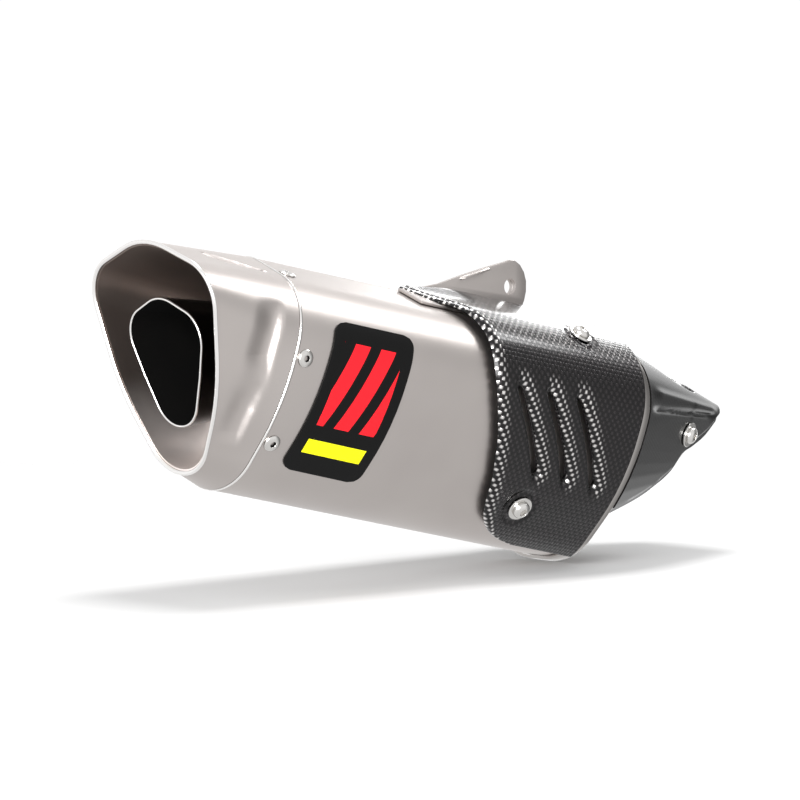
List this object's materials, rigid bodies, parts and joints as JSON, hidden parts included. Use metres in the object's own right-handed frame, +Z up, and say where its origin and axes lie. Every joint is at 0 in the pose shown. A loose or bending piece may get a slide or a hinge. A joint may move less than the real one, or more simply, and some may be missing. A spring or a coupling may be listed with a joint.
{
  "type": "motorcycle slip-on silencer",
  "caption": "Short tapered silencer with a slanted shaped outlet, a carbon heat shield, a carbon inlet cover, a hanger tab and a slotted inlet pipe with a band clamp.",
  "frame": {"origin": "centre of the hanger's bolt hole, in the middle of the tab's thickness", "axes": "as mounted on the right-hand side of a motorcycle: +X to the inlet (vehicle front), -Y outboard, +Z up; the can slopes 11.84 degrees, outlet raised"},
  "size_m": [0.4073, 0.139, 0.1875],
  "materials": {
    "titanium_satin": "satin titanium, fine blasted grain",
    "titanium_polished": "polished titanium",
    "stainless_steel": "bright stainless fasteners",
    "carbon_clear": "carbon weave under satin lacquer",
    "carbon_gloss": "carbon weave under high-gloss lacquer",
    "badge_black": "printed plate",
    "glass_wool": "loose fibre"
  },
  "bodies": {
    "silencer": {"badge_plate": "badge_black", "cover_arm_inboard": "titanium_satin", "cover_arm_outboard": "titanium_satin", "cover_nut_inboard": "stainless_steel", "cover_nut_outboard": "stainless_steel", "cover_screw_inboard": "stainless_steel", "cover_screw_outboard": "stainless_steel", "cover_washer_inboard": "stainless_steel", "cover_washer_outboard": "stainless_steel", "hanger_base": "titanium_satin", "hanger_bush": "titanium_satin", "hanger_tab": "titanium_satin", "heat_shield": "carbon_clear", "inlet_bulkhead": "titanium_satin", "inlet_cover": "carbon_gloss", "inlet_end_ring": "titanium_polished", "inlet_pipe": "titanium_satin", "outer_sleeve": "titanium_satin", "outlet_bulkhead": "stainless_steel", "outlet_end_cap": "titanium_satin", "outlet_funnel": "titanium_satin", "outlet_tube": "titanium_polished", "packing_wool": "glass_wool", "perforated_core": "stainless_steel", "rivet_inlet_1": "stainless_steel", "rivet_inlet_2": "stainless_steel", "rivet_inlet_3": "stainless_steel", "rivet_inlet_4": "stainless_steel", "rivet_inlet_5": "stainless_steel", "rivet_inlet_6": "stainless_steel", "rivet_outlet_1": "stainless_steel", "rivet_outlet_2": "stainless_steel", "rivet_outlet_3": "stainless_steel", "rivet_outlet_4": "stainless_steel", "rivet_outlet_5": "stainless_steel", "rivet_outlet_6": "stainless_steel", "shield_boss_lower": "titanium_satin", "shield_boss_top": "titanium_satin", "shield_screw_lower": "stainless_steel", "shield_screw_top": "stainless_steel", "shield_washer_lower": "stainless_steel", "shield_washer_top": "stainless_steel"},
    "inlet_clamp": {"clamp_band": "stainless_steel", "clamp_nut": "stainless_steel"},
    "clamp_bolt": {"clamp_screw": "stainless_steel"}
  },
  "joints": [
    {"name": "clamp_turn", "type": "hinge", "parent": "silencer", "child": "inlet_clamp", "pos_m": [0.07771, -0.00175, -0.09721], "axis": [0.9787, 0, -0.2052], "range_deg": [-45, 15]},
    {"name": "clamp_screw_turn", "type": "hinge", "parent": "inlet_clamp", "child": "clamp_bolt", "pos_m": [0.07157, 0.01919, -0.12648], "axis": [-0.1177, -0.8192, -0.5614], "continuous": true}
  ]
}
